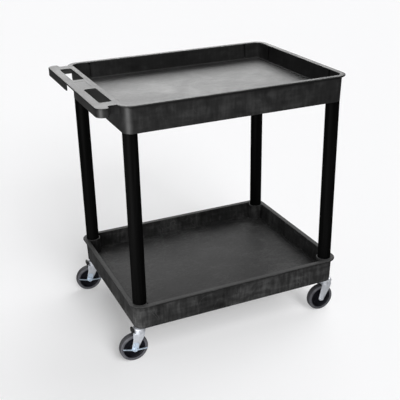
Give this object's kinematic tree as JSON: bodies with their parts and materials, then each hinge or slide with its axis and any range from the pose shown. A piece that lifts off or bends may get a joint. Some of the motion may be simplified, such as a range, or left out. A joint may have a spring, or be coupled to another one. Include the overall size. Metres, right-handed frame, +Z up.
{
  "type": "utility cart",
  "caption": "Two-shelf moulded tub trolley: deep rimmed trays on round legs, slotted push handle moulded into the top tray, swivel casters, foot brakes at the handle end.",
  "frame": {"origin": "on the floor, under the middle of the whole box", "axes": "+Z up; +X the way the trolley is pushed, away from its handle; +Y to the pusher's left"},
  "size_m": [0.8838, 0.625, 0.922],
  "materials": {
    "tub_plastic": "moulded structural foam, faint swirl, satin",
    "leg_plastic": "smooth extruded tube, satin",
    "zinc_steel": "pressed steel, bright zinc plate",
    "wheel_plastic": "moulded wheel core",
    "tyre_rubber": "grey non-marking tread",
    "brake_rubber": "moulded brake block"
  },
  "bodies": {
    "frame": {"top_tub": "tub_plastic", "bottom_tub": "tub_plastic", "leg_rear_left": "leg_plastic", "leg_rear_right": "leg_plastic", "leg_front_left": "leg_plastic", "leg_front_right": "leg_plastic", "caster_stem_rear_left": "zinc_steel", "caster_stem_rear_right": "zinc_steel", "caster_stem_front_left": "zinc_steel", "caster_stem_front_right": "zinc_steel", "swivel_race_rear_left": "zinc_steel", "swivel_race_rear_right": "zinc_steel", "swivel_race_front_left": "zinc_steel", "swivel_race_front_right": "zinc_steel"},
    "caster_rear_left": {"fork_rear_left": "zinc_steel", "axle_bolt_rear_left": "zinc_steel", "axle_nut_rear_left": "zinc_steel", "axle_sleeve_rear_left": "zinc_steel"},
    "wheel_rear_left": {"wheel_hub_rear_left": "wheel_plastic", "tyre_rear_left": "tyre_rubber"},
    "brake_lever_rear_left": {"brake_pedal_rear_left": "zinc_steel"},
    "brake_block_rear_left": {"brake_shoe_rear_left": "brake_rubber", "brake_link_rear_left": "zinc_steel"},
    "caster_rear_right": {"fork_rear_right": "zinc_steel", "axle_bolt_rear_right": "zinc_steel", "axle_nut_rear_right": "zinc_steel", "axle_sleeve_rear_right": "zinc_steel"},
    "wheel_rear_right": {"wheel_hub_rear_right": "wheel_plastic", "tyre_rear_right": "tyre_rubber"},
    "brake_lever_rear_right": {"brake_pedal_rear_right": "zinc_steel"},
    "brake_block_rear_right": {"brake_shoe_rear_right": "brake_rubber", "brake_link_rear_right": "zinc_steel"},
    "caster_front_left": {"fork_front_left": "zinc_steel", "axle_bolt_front_left": "zinc_steel", "axle_nut_front_left": "zinc_steel", "axle_sleeve_front_left": "zinc_steel"},
    "wheel_front_left": {"wheel_hub_front_left": "wheel_plastic", "tyre_front_left": "tyre_rubber"},
    "caster_front_right": {"fork_front_right": "zinc_steel", "axle_bolt_front_right": "zinc_steel", "axle_nut_front_right": "zinc_steel", "axle_sleeve_front_right": "zinc_steel"},
    "wheel_front_right": {"wheel_hub_front_right": "wheel_plastic", "tyre_front_right": "tyre_rubber"}
  },
  "joints": [
    {"name": "swivel_rear_left", "type": "hinge", "parent": "frame", "child": "caster_rear_left", "pos_m": [-0.3409, 0.268, 0.12], "axis": [0, 0, 1], "continuous": true},
    {"name": "wheel_spin_rear_left", "type": "hinge", "parent": "caster_rear_left", "child": "wheel_rear_left", "pos_m": [-0.3659, 0.268, 0.0508], "axis": [0, 1, 0], "continuous": true},
    {"name": "brake_lever_rear_left", "type": "hinge", "parent": "caster_rear_left", "child": "brake_lever_rear_left", "pos_m": [-0.3659, 0.268, 0.0508], "axis": [0, 1, 0], "range_deg": [-14, 0]},
    {"name": "brake_block_rear_left", "type": "slide", "parent": "caster_rear_left", "child": "brake_block_rear_left", "axis": [0, 0, -1], "range_m": [0, 0.0016]},
    {"name": "swivel_rear_right", "type": "hinge", "parent": "frame", "child": "caster_rear_right", "pos_m": [-0.3409, -0.268, 0.12], "axis": [0, 0, 1], "continuous": true},
    {"name": "wheel_spin_rear_right", "type": "hinge", "parent": "caster_rear_right", "child": "wheel_rear_right", "pos_m": [-0.3659, -0.268, 0.0508], "axis": [0, 1, 0], "continuous": true},
    {"name": "brake_lever_rear_right", "type": "hinge", "parent": "caster_rear_right", "child": "brake_lever_rear_right", "pos_m": [-0.3659, -0.268, 0.0508], "axis": [0, 1, 0], "range_deg": [-14, 0]},
    {"name": "brake_block_rear_right", "type": "slide", "parent": "caster_rear_right", "child": "brake_block_rear_right", "axis": [0, 0, -1], "range_m": [0, 0.0016]},
    {"name": "swivel_front_left", "type": "hinge", "parent": "frame", "child": "caster_front_left", "pos_m": [0.4161, 0.268, 0.12], "axis": [0, 0, 1], "continuous": true},
    {"name": "wheel_spin_front_left", "type": "hinge", "parent": "caster_front_left", "child": "wheel_front_left", "pos_m": [0.3911, 0.268, 0.0508], "axis": [0, 1, 0], "continuous": true},
    {"name": "swivel_front_right", "type": "hinge", "parent": "frame", "child": "caster_front_right", "pos_m": [0.4161, -0.268, 0.12], "axis": [0, 0, 1], "continuous": true},
    {"name": "wheel_spin_front_right", "type": "hinge", "parent": "caster_front_right", "child": "wheel_front_right", "pos_m": [0.3911, -0.268, 0.0508], "axis": [0, 1, 0], "continuous": true}
  ],
  "couplings": [
    {"joint": "brake_block_rear_left", "follows": "brake_lever_rear_left", "m_per_rad": -0.0062},
    {"joint": "brake_block_rear_right", "follows": "brake_lever_rear_right", "m_per_rad": -0.0062}
  ]
}
